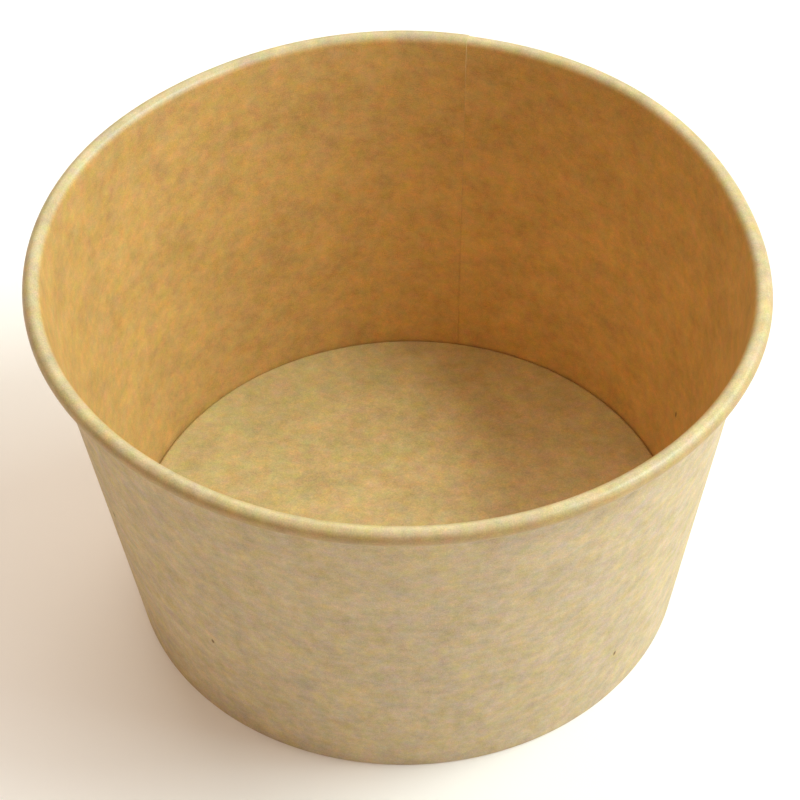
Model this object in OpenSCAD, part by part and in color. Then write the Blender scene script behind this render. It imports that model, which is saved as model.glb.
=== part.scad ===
// A round paperboard soup bowl: a wrapped, lapped wall with a rolled rim, and a bottom
// whose skirt is held in a hem at the foot.

/* [Bowl] */
// Diameter across the outside of the rolled rim
rim_d = 116; // [104:1:140]
// Diameter of the wall's outer face, carried down to the table
foot_d = 92; // [80:1:98]
// Height from the table to the top of the rim
bowl_h = 68; // [45:1:100]

/* [Board] */
// Thickness of the board that the wall is wrapped from
wall_board = 0.4; // [0.3:0.05:0.6]
// Thickness of the board that the bottom is pressed from
bottom_board = 0.35; // [0.25:0.05:0.5]
// Coating left between the bottom's skirt and the wall and hem that it is sealed to
seal_film = 0.05; // [0.03:0.01:0.1]

/* [Rim] */
// Diameter of the roll's section
roll_d = 2.9; // [2.4:0.1:4]
// Slit between the roll's cut edge and the wall
roll_slit = 0.15; // [0.05:0.05:0.3]

/* [Foot] */
// Height of the bottom's upper face above the table
bottom_lift = 6; // [4.5:0.5:12]
// Outside radius of the bend where the bottom turns down into its skirt
skirt_bend = 0.8; // [0.6:0.1:1.5]
// Height of the wall that is folded back up inside the foot
hem_h = 4.5; // [2:0.5:5]
// Depth that the fold is pressed flat where it stands on the table
foot_press = 0.1; // [0.05:0.05:0.2]

/* [Seam] */
// Place of the lap's inner edge, anticlockwise from the right seen from above
seam_angle = 77.2; // [0:0.1:359]
// Width of the lap, measured at the rim
lap_w = 8; // [4:0.5:12]
// Depth that the lap's two layers are pressed into each other
lap_press = 0.05; // [0.03:0.01:0.1]
// Turn over which the inner layer eases out from under the outer one
ease_turn = 18; // [14:1:30]

/* [Hidden] */
$fn = 180;
roll_steps = 28; // facets round the roll's section
bend_steps = 10; // facets round each bend's section
kraft = "#b8905c";
kraft_lined = "#c09a66";

roll_r = roll_d / 2;
roll_hollow_r = roll_r - wall_board;
// The roll's centre seen from the foot, and the lean that makes the wall's inner face
// run smoothly on into the roll
roll_out = (rim_d - foot_d) / 2 - roll_r;
roll_up = bowl_h - roll_r;
wall_lean = acos(roll_hollow_r / norm([roll_out, roll_up])) - atan2(roll_up, roll_out);
// Along the leaning wall, from the foot to the height of the roll's centre
roll_along = roll_up * cos(wall_lean) + roll_out * sin(wall_lean);

// The fold holds two layers of wall, the skirt and the film on both sides of it
fold_r = wall_board + seal_film + bottom_board / 2;
fold_hollow_r = fold_r - wall_board;
fold_along = (fold_r * (1 - sin(wall_lean)) - foot_press) / cos(wall_lean);
// Angle below level at which the fold's outside reaches the table
fold_flat = asin((fold_r - foot_press) / fold_r);

skirt_in = wall_board + seal_film;
bend_hollow_r = skirt_bend - bottom_board;
bend_in = skirt_in + skirt_bend;
bend_along = (bottom_lift - skirt_bend - bend_in * sin(wall_lean)) / cos(wall_lean);

lap_turn = lap_w / (PI * rim_d) * 360;
lap_step = wall_board - lap_press;
lap_end = seam_angle + lap_turn;
ease_end = lap_end + ease_turn;
// The lap's layers are pressed flat below this height, where the foot is sealed
lap_foot = bottom_lift + seal_film;
lap_sink = 0.1; // depth that the lap's lower end reaches into the pressed foot
lap_ride = 0.2; // rise of that end, as a share of how far the layer is drawn in
ease_slices = 4; // stretches in which the inner layer eases out
slice_turn = ease_turn / ease_slices;
slice_over = 0.2; // degrees that a stretch runs on into the next

// A point of the section, measured out from the wall's outer face and up along it
function on_wall(out, up) =
    [foot_d / 2 + out * cos(wall_lean) + up * sin(wall_lean),
     up * cos(wall_lean) - out * sin(wall_lean)];

function arc(centre, r, from, to, steps) =
    [for (i = [0:steps]) centre + r * [cos(from + (to - from) * i / steps),
                                       sin(from + (to - from) * i / steps)]];

// The roll's cut edge stops short of the wall by the slit
function roll_end(r) = -acos((roll_slit - roll_hollow_r) / r) - wall_lean;

roll_centre = on_wall(roll_hollow_r, roll_along);
roll_start = 180 - wall_lean;
fold_centre = on_wall(-fold_r, fold_along);
fold_start = 180 - wall_lean;
fold_stop = 360 - wall_lean;
bend_centre = on_wall(-bend_in, bend_along);

// Round the roll from the wall's outer face to its inner face
function roll_points() = concat(
    arc(roll_centre, roll_hollow_r, roll_start, roll_end(roll_hollow_r), roll_steps),
    arc(roll_centre, roll_r, roll_end(roll_r), roll_start, roll_steps));

// Round the fold from the wall's inner face to its outer face, flat where it stands
function fold_points() = concat(
    arc(fold_centre, fold_hollow_r, fold_stop, fold_start, bend_steps),
    [on_wall(wall_board - 2 * fold_r, fold_along + hem_h), on_wall(-2 * fold_r, fold_along + hem_h)],
    arc(fold_centre, fold_r, fold_start, 180 + fold_flat, bend_steps),
    arc(fold_centre, fold_r, 360 - fold_flat, fold_stop, bend_steps));

// Across the wall at a height, from its inner face to its outer face
function level_points(height) =
    [on_wall(-wall_board, height / cos(wall_lean) - wall_board * tan(wall_lean)),
     on_wall(0, height / cos(wall_lean))];

// The section of the whole blank
module blank_section() { polygon(concat(roll_points(), fold_points())); }

// The section of the inner layer in the lap, which rides over the bottom's bend
module lap_section(draw_in) {
    translate([-draw_in, 0])
        polygon(concat(roll_points(), level_points(lap_foot - lap_sink + lap_ride * draw_in)));
}

module bottom_section() {
    polygon(concat(
        [[0, bottom_lift]],
        arc(bend_centre, skirt_bend, 90, -wall_lean, bend_steps),
        [on_wall(-skirt_in, fold_along), on_wall(-skirt_in - bottom_board, fold_along)],
        arc(bend_centre, bend_hollow_r, -wall_lean, 90, bend_steps),
        [[0, bottom_lift - bottom_board]]));
}

// A stretch of the inner layer, drawn in towards the bowl's axis
module inner_layer(from, to, draw_in) {
    rotate(from) rotate_extrude(angle = to - from) lap_section(draw_in);
}

// Everything above the foot between two angles
module sector(from, to) {
    translate([0, 0, lap_foot]) linear_extrude(bowl_h)
        polygon([[0, 0], rim_d * [cos(from), sin(from)], rim_d * [cos(to), sin(to)]]);
}

module sidewall() {
    color(kraft) {
        difference() {
            rotate_extrude() blank_section();
            sector(lap_end, ease_end);
        }
        inner_layer(seam_angle, lap_end + 2 * slice_over, lap_step);
        for (i = [1:ease_slices])
            inner_layer(lap_end + (i - 1) * slice_turn - slice_over,
                        lap_end + i * slice_turn + slice_over,
                        lap_step * (1 - i / (ease_slices + 1)));
    }
}

module bottom_disc() {
    color(kraft_lined) rotate_extrude() bottom_section();
}

sidewall();
bottom_disc();
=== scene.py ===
import bpy
import bmesh
import math
from mathutils import Matrix, Vector


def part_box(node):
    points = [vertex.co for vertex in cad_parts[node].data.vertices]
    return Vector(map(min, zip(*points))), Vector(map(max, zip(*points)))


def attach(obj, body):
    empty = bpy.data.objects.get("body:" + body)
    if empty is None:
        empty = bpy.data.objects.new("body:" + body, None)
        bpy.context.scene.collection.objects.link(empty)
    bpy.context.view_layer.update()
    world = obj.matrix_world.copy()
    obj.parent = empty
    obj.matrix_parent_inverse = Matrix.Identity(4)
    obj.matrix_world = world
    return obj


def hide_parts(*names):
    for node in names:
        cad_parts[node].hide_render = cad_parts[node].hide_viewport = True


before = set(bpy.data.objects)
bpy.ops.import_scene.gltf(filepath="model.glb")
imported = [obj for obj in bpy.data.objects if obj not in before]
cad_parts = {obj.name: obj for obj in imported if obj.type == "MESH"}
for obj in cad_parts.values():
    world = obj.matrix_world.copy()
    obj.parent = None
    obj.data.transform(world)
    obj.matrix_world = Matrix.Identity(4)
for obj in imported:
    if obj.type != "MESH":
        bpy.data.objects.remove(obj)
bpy.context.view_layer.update()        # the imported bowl: sidewall and bottom_disc on one body
print("frame loaded")

mm = 0.001
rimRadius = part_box("sidewall")[1].x
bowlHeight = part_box("sidewall")[1].z

# The paperboard blank that is wrapped into the wall, in millimetres and degrees
blank = {
    "board": 0.4 * mm,
    "footRadius": 46 * mm,      # the wall's outer face carried down to the table
    "rollRadius": 1.45 * mm,
    "rollSlit": 0.15 * mm,      # between the roll's cut edge and the wall
    "film": 0.05 * mm,          # clear lining left between sealed layers
    "hemHeight": 4.5 * mm,
    "footPress": 0.1 * mm,
    "seamAngle": 77.2,          # the lap's inner edge, anticlockwise from the right
    "lapWidth": 8 * mm,
    "lapPress": 0.05 * mm,      # how far the two sealed layers sink into each other
    "easeTurn": 16,             # turn in which a lapped layer eases back into the wall
    # share of the lap's step that is left: in the pressed foot, on the wall, under the roll, in it
    "footLap": 0.25,
    "wallLap": 0.25,
    "rimLap": 0.75,
    "rollLap": 0.5,
    "wallLapRise": 4 * mm,      # the height above the bottom over which the step changes
    "rimLapStart": 8 * mm,      # how far under the roll the step starts to grow
    "rimLapRise": 7 * mm,
    "rollLapRise": 2 * mm,
    "wrapSteps": 368,
    "wallPieces": 26,
    "rollPieces": 26,
    "bendPieces": 8,
    "cutEdge": 0.05 * mm,       # rounding of the board's cut edges
}

# The blank of the bottom
bottom = {
    "board": 0.35 * mm,
    "lift": 6 * mm,             # the upper face above the table
    "bendRadius": 0.8 * mm,
    "platePieces": 24,
    "skirtPieces": 3,
    "spinSteps": 240,
    "dome": 0.12 * mm,
}

# How far the wrapped board is from a true cone: (waves round the rim, size, place in degrees)
slack = {
    "outward": [(2, 0.11 * mm, -51), (3, 0.54 * mm, -56), (4, 0.09 * mm, -21), (5, 0.06 * mm, -25),
                (6, 0.09 * mm, -22), (7, 0.07 * mm, -7)],
    "upward": [(1, 0.78 * mm, -177), (2, 0.51 * mm, -59), (3, 0.05 * mm, 60)],
    "fade": 1.6,                # how quickly it dies out down the wall
}


# The wall's lean, from the foot and the roll
rollHollow = blank["rollRadius"] - blank["board"]
rollOut = rimRadius - blank["rollRadius"] - blank["footRadius"]
rollUp = bowlHeight - blank["rollRadius"]
lean = math.acos(rollHollow / math.hypot(rollOut, rollUp)) - math.atan2(rollUp, rollOut)
rollAlong = rollUp * math.cos(lean) + rollOut * math.sin(lean)
foldRadius = blank["board"] + blank["film"] + bottom["board"] / 2
foldAlong = (foldRadius * (1 - math.sin(lean)) - blank["footPress"]) / math.cos(lean)
# how far up the blank, from its hemmed edge, the roll starts
rollStart = blank["hemHeight"] + math.pi * (foldRadius - blank["board"] / 2) + rollAlong - foldAlong


def hexColour(code):
    # sRGB hex to the linear colour that shaders use
    channels = [int(code[i:i + 2], 16) / 255 for i in (1, 3, 5)]
    linear = [c / 12.92 if c <= 0.04045 else ((c + 0.055) / 1.055) ** 2.4 for c in channels]
    return (*linear, 1)


def addNode(tree, kind, settings=None, links=None):
    node = tree.nodes.new(kind)
    for key, value in (settings or {}).items():
        if isinstance(key, int) or key in node.inputs:
            node.inputs[key].default_value = value
        else:
            setattr(node, key, value)
    for key, source in (links or {}).items():
        tree.links.new(source, node.inputs[key])
    return node


# Kraft paperboard: long unbleached wood fibres pressed flat. Up close it is a flock of
# pinkish and straw coloured clumps, with softer clouds where the sheet is thicker and a few
# dark shives. The sizes are those of real fibre clumps.
kraft = {
    "clump": 2.6 * mm,          # the largest clumps; each finer layer is half the size
    "fineness": 0.85,           # strength of each finer layer against the one before
    "hueClump": 2.4 * mm,
    "hueFineness": 0.75,
    "grain": 0.2 * mm,
    "cloud": 7 * mm,
    "stretch": 1.15,            # fibres lie longer round the bowl than up it
    "speckApart": 9 * mm,
    "speckSize": 0.05,          # of the distance between specks
    "speckShare": 0.4,          # of the places that hold one
    "speckForm": (1, 0.6, 0.8), # a shive is longer than it is wide
    "speckTurn": (0.3, 0.2, 0.5),
    "relief": 0.02 * mm,
    "grainRelief": 0.4,         # of the clumps' relief
    "rollLength": 6 * mm,
}


def kraftMaterial(name, look):
    material = bpy.data.materials.new(name)
    material.use_nodes = True
    tree = material.node_tree
    tree.nodes.clear()
    place = addNode(tree, "ShaderNodeTexCoord").outputs[look["coordinates"]]

    def swing(size, detail, fineness, shift):
        # a noise that swings about zero
        laid = addNode(tree, "ShaderNodeMapping",
                       {"Location": (shift * mm, -shift * mm, shift * mm),
                        "Scale": (1 / kraft["stretch"], 1, 1)}, {"Vector": place})
        noise = addNode(tree, "ShaderNodeTexNoise",
                        {"Scale": 1 / size, "Detail": detail, "Roughness": fineness},
                        {"Vector": laid.outputs["Vector"]})
        return addNode(tree, "ShaderNodeMapRange",
                       {"clamp": False, "From Min": 0.25, "From Max": 0.75, "To Min": -1, "To Max": 1},
                       {"Value": noise.outputs["Fac"]}).outputs["Result"]

    def weighed(value, weight, plus):
        # value * weight + plus, where plus is a number or another value
        node = addNode(tree, "ShaderNodeMath", {"operation": "MULTIPLY_ADD", 1: weight}, {0: value})
        if isinstance(plus, float):
            node.inputs[2].default_value = plus
        else:
            tree.links.new(plus, node.inputs[2])
        return node.outputs["Value"]

    def tinted(colour, share, low, high):
        # multiplies a colour by a tint between low and high
        tint = addNode(tree, "ShaderNodeMix", {"data_type": "RGBA", 6: (*low, 1), 7: (*high, 1)},
                       {0: share})
        return addNode(tree, "ShaderNodeVectorMath", {"operation": "MULTIPLY"},
                       {0: colour, 1: tint.outputs[2]}).outputs["Vector"]

    clump = swing(kraft["clump"], 4, kraft["fineness"], 0)
    hue = swing(kraft["hueClump"], 3, kraft["hueFineness"], 60)
    depth = swing(kraft["hueClump"], 3, kraft["hueFineness"], 150)
    cloud = swing(kraft["cloud"], 2, 0.6, 240)
    grain = swing(kraft["grain"], 1, 0.5, 330)

    # the board's colour, and its change along the roll, which on the lined face is a painted highlight over
    # the roll's crown and painted shade on its flank
    up = addNode(tree, "ShaderNodeSeparateXYZ", {}, {"Vector": place})
    alongRoll = addNode(tree, "ShaderNodeMapRange",
                        {"From Min": rollStart, "From Max": rollStart + kraft["rollLength"]},
                        {"Value": up.outputs["Y"]})
    board = addNode(tree, "ShaderNodeValToRGB", {}, {"Fac": alongRoll.outputs["Result"]})
    stops = board.color_ramp.elements
    stops[0].color = stops[1].color = hexColour(look["board"])
    for at, code in look["rollSheenAndShadePainted"]:
        stops.new(at * mm / kraft["rollLength"]).color = hexColour(code)
        stops[-1].color = hexColour(code)
    colour = tinted(board.outputs["Color"], weighed(hue, 0.5, 0.5), look["pink"], look["straw"])
    colour = tinted(colour, weighed(depth, 0.5, 0.5), look["pale"], look["rich"])
    tone = weighed(grain, look["grainDepth"], 1.0)
    tone = weighed(cloud, look["cloudDepth"], tone)
    tone = weighed(clump, look["clumpDepth"], tone)
    shaded = addNode(tree, "ShaderNodeVectorMath", {"operation": "SCALE"}, {0: colour, 3: tone})

    # shives: one dark speck in some of the cells
    cellPlace = addNode(tree, "ShaderNodeMapping",
                        {"Scale": [share / kraft["speckApart"] for share in kraft["speckForm"]],
                         "Rotation": kraft["speckTurn"]}, {"Vector": place})
    cells = addNode(tree, "ShaderNodeTexVoronoi", {"Scale": 1.0},
                    {"Vector": cellPlace.outputs["Vector"]})
    cellDraw = addNode(tree, "ShaderNodeSeparateColor", {}, {"Color": cells.outputs["Color"]})
    isDrawn = addNode(tree, "ShaderNodeMath", {"operation": "LESS_THAN", 1: kraft["speckShare"]},
                      {0: cellDraw.outputs["Red"]})
    isNear = addNode(tree, "ShaderNodeMapRange",
                     {"From Min": kraft["speckSize"] * 0.5, "From Max": kraft["speckSize"],
                      "To Min": look["speckDepth"], "To Max": 0.0},
                     {"Value": cells.outputs["Distance"]})
    isSpeck = addNode(tree, "ShaderNodeMath", {"operation": "MULTIPLY"},
                      {0: isNear.outputs["Result"], 1: isDrawn.outputs["Value"]})
    coloured = addNode(tree, "ShaderNodeMix", {"data_type": "RGBA", 7: hexColour(look["shive"])},
                       {0: isSpeck.outputs["Value"], 6: shaded.outputs["Vector"]})

    bump = addNode(tree, "ShaderNodeBump", {"Strength": look["bump"], "Distance": kraft["relief"]},
                   {"Height": weighed(grain, kraft["grainRelief"], clump)})
    shader = addNode(tree, "ShaderNodeBsdfPrincipled",
                     {"Roughness": look["roughness"], "IOR": look["ior"],
                      "Specular IOR Level": look["specular"], "Coat Weight": look["coat"],
                      "Coat Roughness": look["coatRoughness"]},
                     {"Base Color": coloured.outputs[2], "Normal": bump.outputs["Normal"]})
    addNode(tree, "ShaderNodeOutputMaterial", {}, {"Surface": shader.outputs["BSDF"]})
    return material


# The bare outer face: matt and slightly fuzzy, a pinkish brown
bareLook = {
    "coordinates": "UV",
    "board": "#c8b28c",
    "rollSheenAndShadePainted": [],                    # (mm along the roll, the colour there: painted highlight and painted shade on the roll)
    "pink": (1.06, 0.93, 1.05),         # tints that multiply the board's colour
    "straw": (0.94, 1.07, 0.95),
    "pale": (0.95, 0.97, 1.25),
    "rich": (1.05, 1.03, 0.75),
    "shive": "#6b4a28",
    "clumpDepth": 0.2,
    "grainDepth": 0.14,
    "cloudDepth": 0.10,
    "speckDepth": 0.8,
    "bump": 0.3,
    "roughness": 0.9,
    "ior": 1.45,
    "specular": 0.4,
    "coat": 0.0,
    "coatRoughness": 0.5,
}
# The lined inner face: the clear film wets the fibres, so it is deeper, yellower and smoother
linedLook = dict(
    bareLook,
    board="#cda25d",
    # a painted highlight, pale over the crown as the film's sheen, and painted shade, brown again on the
    # flank
    rollSheenAndShadePainted=[(0.3, "#cda25d"), (1.0, "#c3ad7b"), (2.5, "#c3ad7b"), (3.3, "#b4935a")],
    pink=(1.09, 0.9, 1.04),
    straw=(0.91, 1.1, 0.96),
    shive="#5a3818",
    clumpDepth=0.2,
    cloudDepth=0.12,
    bump=0.15,
    roughness=0.6,
    ior=1.5,
    specular=0.3,
    coat=0.5,
    coatRoughness=0.33,
)
# The cut edge: torn fibre ends, paler than either face
edgeLook = dict(bareLook, board="#d8c49a", speckDepth=0.0, bump=0.5, roughness=0.95)
floorLook = dict(linedLook, coordinates="Object", board="#cbb175", rollSheenAndShadePainted=[], cloudDepth=0.1)
underLook = dict(bareLook, coordinates="Object")
floorEdgeLook = dict(edgeLook, coordinates="Object")

materials = {
    "outer": kraftMaterial("kraftboardBareFace", bareLook),
    "lined": kraftMaterial("kraftboardLinedFace", linedLook),
    "cut": kraftMaterial("kraftboardCutEdge", edgeLook),
    "floor": kraftMaterial("kraftboardFloorLined", floorLook),
    "under": kraftMaterial("kraftboardFloorBare", underLook),
    "floorCut": kraftMaterial("kraftboardFloorCut", floorEdgeLook),
}
print("kraft materials made")


def onWall(out, up):
    # a point of the section: out from the wall's outer face, and up along it
    return Vector((blank["footRadius"] + out * math.cos(lean) + up * math.sin(lean), 0,
                   up * math.cos(lean) - out * math.sin(lean)))


def drawStraight(bm, vert, end, pieces):
    start = vert.co.copy()
    for piece in range(1, pieces + 1):
        vert = bmesh.ops.extrude_vert_indiv(bm, verts=[vert])["verts"][0]
        vert.co = start.lerp(end, piece / pieces)
    return vert


def drawBend(bm, vert, centre, angle, pieces):
    # positive angles turn from up towards outwards
    spun = bmesh.ops.spin(bm, geom=[vert], cent=centre, axis=(0, 1, 0), angle=angle, steps=pieces,
                          use_duplicate=False)
    return [g for g in spun["geom_last"] if isinstance(g, bmesh.types.BMVert)][0]


def makeObject(name, bm, faceMaterials):
    mesh = bpy.data.meshes.new(name)
    bm.to_mesh(mesh)
    bm.free()
    for material in faceMaterials:
        mesh.materials.append(material)
    made = bpy.data.objects.new(name, mesh)
    bpy.context.scene.collection.objects.link(made)
    for polygon in mesh.polygons:
        polygon.use_smooth = True
    return made


def giveBoard(made, thickness, cutEdge):
    # turns the middle sheet into board, with the bare face and the cut edge as their own materials
    solid = made.modifiers.new("board", "SOLIDIFY")
    solid.thickness = thickness
    solid.offset = 0
    solid.use_even_offset = True
    solid.use_quality_normals = True
    solid.material_offset = 1
    solid.material_offset_rim = 2
    bevel = made.modifiers.new("cutEdge", "BEVEL")
    bevel.width = cutEdge
    bevel.segments = 2
    bevel.limit_method = "ANGLE"
    bevel.angle_limit = math.radians(50)
    bevel.harden_normals = True


def smoothStep(value):
    value = min(max(value, 0), 1)
    return value * value * (3 - 2 * value)


def makeWall():
    bm = bmesh.new()
    half = blank["board"] / 2
    vert = bm.verts.new(onWall(half - 2 * foldRadius, foldAlong + blank["hemHeight"]))
    vert = drawStraight(bm, vert, onWall(half - 2 * foldRadius, foldAlong), 4)
    vert = drawBend(bm, vert, onWall(-foldRadius, foldAlong), -math.pi, blank["bendPieces"] * 2)
    vert = drawStraight(bm, vert, onWall(-half, rollAlong), blank["wallPieces"])
    rollEnd = math.pi + math.acos((blank["rollSlit"] - rollHollow) / (blank["rollRadius"] - half))
    drawBend(bm, vert, onWall(rollHollow, rollAlong), rollEnd, blank["rollPieces"])

    bm.verts.index_update()
    rows = [v.co.copy() for v in bm.verts]
    rowCount = len(rows)
    along = [0.0]
    for before, after in zip(rows, rows[1:]):
        along.append(along[-1] + (after - before).length)
    inward = []                 # the lined side of the sheet, square to each row
    for i in range(rowCount):
        ahead = rows[min(i + 1, rowCount - 1)] - rows[max(i - 1, 0)]
        inward.append(Vector((-ahead.z, 0, ahead.x)).normalized())

    lapTurn = math.degrees(blank["lapWidth"] / rimRadius)
    wholeTurn = 360 + lapTurn
    bmesh.ops.rotate(bm, verts=bm.verts, cent=(0, 0, 0),
                     matrix=Matrix.Rotation(math.radians(blank["seamAngle"]), 3, "Z"))
    bmesh.ops.spin(bm, geom=bm.verts[:] + bm.edges[:], cent=(0, 0, 0), axis=(0, 0, 1),
                   angle=math.radians(wholeTurn), steps=blank["wrapSteps"], use_duplicate=False)
    bm.verts.index_update()
    layerStep = (blank["board"] - blank["lapPress"]) / 2
    uvLayer = bm.loops.layers.uv.new("blank")
    bm.verts.ensure_lookup_table()
    laid = []                   # each point's turn round the bowl and place up the blank
    for v in bm.verts:
        row = v.index % rowCount
        turn = v.index // rowCount * wholeTurn / blank["wrapSteps"]
        azimuth = math.radians(blank["seamAngle"] + turn)
        laid.append((turn, along[row]))
        innerLayer = smoothStep(1 - (turn - lapTurn) / blank["easeTurn"])
        outerLayer = smoothStep((turn - 360 + blank["easeTurn"]) / blank["easeTurn"])
        pastRoll = along[row] - rollStart
        aboveFoot = smoothStep((rows[row].z - bottom["lift"]) / blank["wallLapRise"])
        underRoll = smoothStep((pastRoll + blank["rimLapStart"]) / blank["rimLapRise"])
        inRoll = smoothStep(pastRoll / blank["rollLapRise"] + 0.5)
        share = blank["footLap"] + (blank["wallLap"] - blank["footLap"]) * aboveFoot
        share += (blank["rimLap"] - blank["wallLap"]) * underRoll
        share += (blank["rollLap"] - blank["rimLap"]) * inRoll
        outLine = Vector((math.cos(azimuth), math.sin(azimuth), 0))
        step = layerStep * (innerLayer - outerLayer) * share
        v.co += (outLine * inward[row].x + Vector((0, 0, inward[row].z))) * step
        height = max(rows[row].z, 0) / bowlHeight
        fade = height ** slack["fade"]
        v.co += outLine * fade * sum(size * math.cos(waves * azimuth - math.radians(waves * at))
                                     for waves, size, at in slack["outward"])
        v.co.z += fade * sum(size * math.cos(waves * azimuth - math.radians(waves * at))
                             for waves, size, at in slack["upward"])
        v.co.z = max(v.co.z, half)
    for face in bm.faces:
        for loop in face.loops:
            turn, up = laid[loop.vert.index]
            loop[uvLayer].uv = (math.radians(turn) * rimRadius, up)
    bm.normal_update()
    # the lined side faces the bowl's axis on the wall, so check one face there and turn all if needed
    wallFace = min(bm.faces, key=lambda f: abs(f.calc_center_median().z - bowlHeight / 2))
    centre = wallFace.calc_center_median()
    if wallFace.normal.dot(Vector((centre.x, centre.y, 0))) > 0:
        bmesh.ops.reverse_faces(bm, faces=bm.faces)
    wall = makeObject("wrappedWall", bm, [materials["lined"], materials["outer"], materials["cut"]])
    giveBoard(wall, blank["board"], blank["cutEdge"])
    return wall


def makeBottom():
    bm = bmesh.new()
    half = bottom["board"] / 2
    bendIn = blank["board"] + blank["film"] + bottom["bendRadius"]
    bendAlong = ((bottom["lift"] - bottom["bendRadius"] - bendIn * math.sin(lean)) / math.cos(lean))
    bendCentre = onWall(-bendIn, bendAlong)
    vert = bm.verts.new((0, 0, bottom["lift"] - half))
    vert = drawStraight(bm, vert, Vector((bendCentre.x, 0, bottom["lift"] - half)), bottom["platePieces"])
    vert = drawBend(bm, vert, bendCentre, math.pi / 2 + lean, blank["bendPieces"])
    skirtIn = blank["board"] + blank["film"] + half
    drawStraight(bm, vert, onWall(-skirtIn, foldAlong), bottom["skirtPieces"])
    for v in bm.verts:
        near = min(v.co.x / bendCentre.x, 1)
        v.co.z += bottom["dome"] * (1 - near ** 2)
    bmesh.ops.spin(bm, geom=bm.verts[:] + bm.edges[:], cent=(0, 0, 0), axis=(0, 0, 1),
                   angle=2 * math.pi, steps=bottom["spinSteps"], use_merge=True, use_duplicate=False)
    bmesh.ops.remove_doubles(bm, verts=bm.verts, dist=0.001 * mm)
    bm.normal_update()
    plateFace = min(bm.faces, key=lambda f: f.calc_center_median().xy.length)
    if plateFace.normal.z < 0:
        bmesh.ops.reverse_faces(bm, faces=bm.faces)
    disc = makeObject("pressedBottom", bm, [materials["floor"], materials["under"], materials["floorCut"]])
    giveBoard(disc, bottom["board"], blank["cutEdge"])
    return disc


wall = makeWall()
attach(wall, "root")
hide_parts("sidewall")
print("wall wrapped, rolled and folded")

disc = makeBottom()
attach(disc, "root")
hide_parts("bottom_disc")
print("bottom pressed")

studio = {
    "tableColour": "#f8f2ea",
    "tableRoughness": 0.8,
    # the table's faint glow is painted light that stands in for bounce from a bright table
    "tableGlow": 0.08,
    "tableSize": 6.0,
    "skyColour": "#fff3e6",
    "skyStrength": 0.12,
    # name: (azimuth, elevation, distance, width, height, watts, colour)
    "lamps": {
        "windowRight": (4, 42, 1.2, 1.1, 0.62, 12.0, "#e6faff"),
        "windowTop": (-2, 55, 1.2, 0.45, 0.16, 5.2, "#e6f8ff"),
        "lowRight": (-20, 15, 1.2, 0.8, 0.4, 3.4, "#eaecff"),
        "topSoft": (0, 85, 1.2, 0.9, 0.9, 1.2, "#ffffff"),
        "backSoft": (95, 48, 1.2, 1.0, 1.0, 7.6, "#fffaf4"),
        "frontFill": (-110, 42, 1.2, 0.9, 0.9, 1.9, "#ffdcb8"),
        "leftFill": (180, 45, 1.2, 0.9, 0.9, 2.2, "#ffe2c4"),
    },
}


def makeStudio():
    bm = bmesh.new()
    bmesh.ops.create_grid(bm, x_segments=1, y_segments=1, size=studio["tableSize"] / 2)
    table = makeObject("paleGlowingTable", bm, [])
    tableMaterial = bpy.data.materials.new("paleGlowingTable")
    tableMaterial.use_nodes = True
    shader = tableMaterial.node_tree.nodes["Principled BSDF"]
    shader.inputs["Base Color"].default_value = hexColour(studio["tableColour"])
    shader.inputs["Roughness"].default_value = studio["tableRoughness"]
    # the table glows faintly: painted light that lifts its cast shadow and lights the bowl's lower wall
    # from below
    shader.inputs["Emission Color"].default_value = hexColour(studio["tableColour"])
    shader.inputs["Emission Strength"].default_value = studio["tableGlow"]
    table.data.materials.append(tableMaterial)

    world = bpy.data.worlds.new("softRoom")
    world.use_nodes = True
    background = world.node_tree.nodes["Background"]
    background.inputs["Color"].default_value = hexColour(studio["skyColour"])
    background.inputs["Strength"].default_value = studio["skyStrength"]
    bpy.context.scene.world = world

    for name, (azimuth, elevation, distance, width, height, watts, colour) in studio["lamps"].items():
        light = bpy.data.lights.new(name, "AREA")
        light.shape = "RECTANGLE"
        light.size = width
        light.size_y = height
        light.energy = watts
        light.color = hexColour(colour)[:3]
        lamp = bpy.data.objects.new(name, light)
        turn, rise = math.radians(azimuth), math.radians(elevation)
        towards = Vector((math.cos(turn) * math.cos(rise), math.sin(turn) * math.cos(rise), math.sin(rise)))
        lamp.location = towards * distance
        lamp.rotation_euler = towards.to_track_quat("Z", "Y").to_euler()
        bpy.context.scene.collection.objects.link(lamp)
    bpy.context.scene.view_settings.view_transform = "Standard"


# The camera's place was worked out from the rim's and the foot's outlines, in rim radii
view = {
    "pitch": 45.27,             # looking down
    "roll": -1.49,
    "distance": 8.15,
    "across": -0.0085,
    "up": 0.4493,
    "lens": 123.3,              # for a 36 mm frame
    "frameWidth": 36,
    "nearest": 0.01,            # metres
}


def makeCamera():
    pitch, roll = math.radians(view["pitch"]), math.radians(view["roll"])
    forward = Vector((0, math.cos(pitch), -math.sin(pitch)))
    right = Vector((1, 0, 0))
    up = Vector((0, math.sin(pitch), math.cos(pitch)))
    place = (-view["distance"] * forward + view["across"] * right + view["up"] * up) * rimRadius
    rolledRight = math.cos(roll) * right + math.sin(roll) * up
    rolledUp = -math.sin(roll) * right + math.cos(roll) * up
    data = bpy.data.cameras.new("photoView")
    data.sensor_width = view["frameWidth"]
    data.lens = view["lens"]
    data.clip_start = view["nearest"]
    camera = bpy.data.objects.new("photoView", data)
    axes = Matrix((rolledRight, rolledUp, -forward)).transposed()
    camera.matrix_world = Matrix.Translation(place) @ axes.to_4x4()
    bpy.context.scene.collection.objects.link(camera)
    bpy.context.scene.camera = camera


makeStudio()
makeCamera()
print("table, lamps and camera placed")
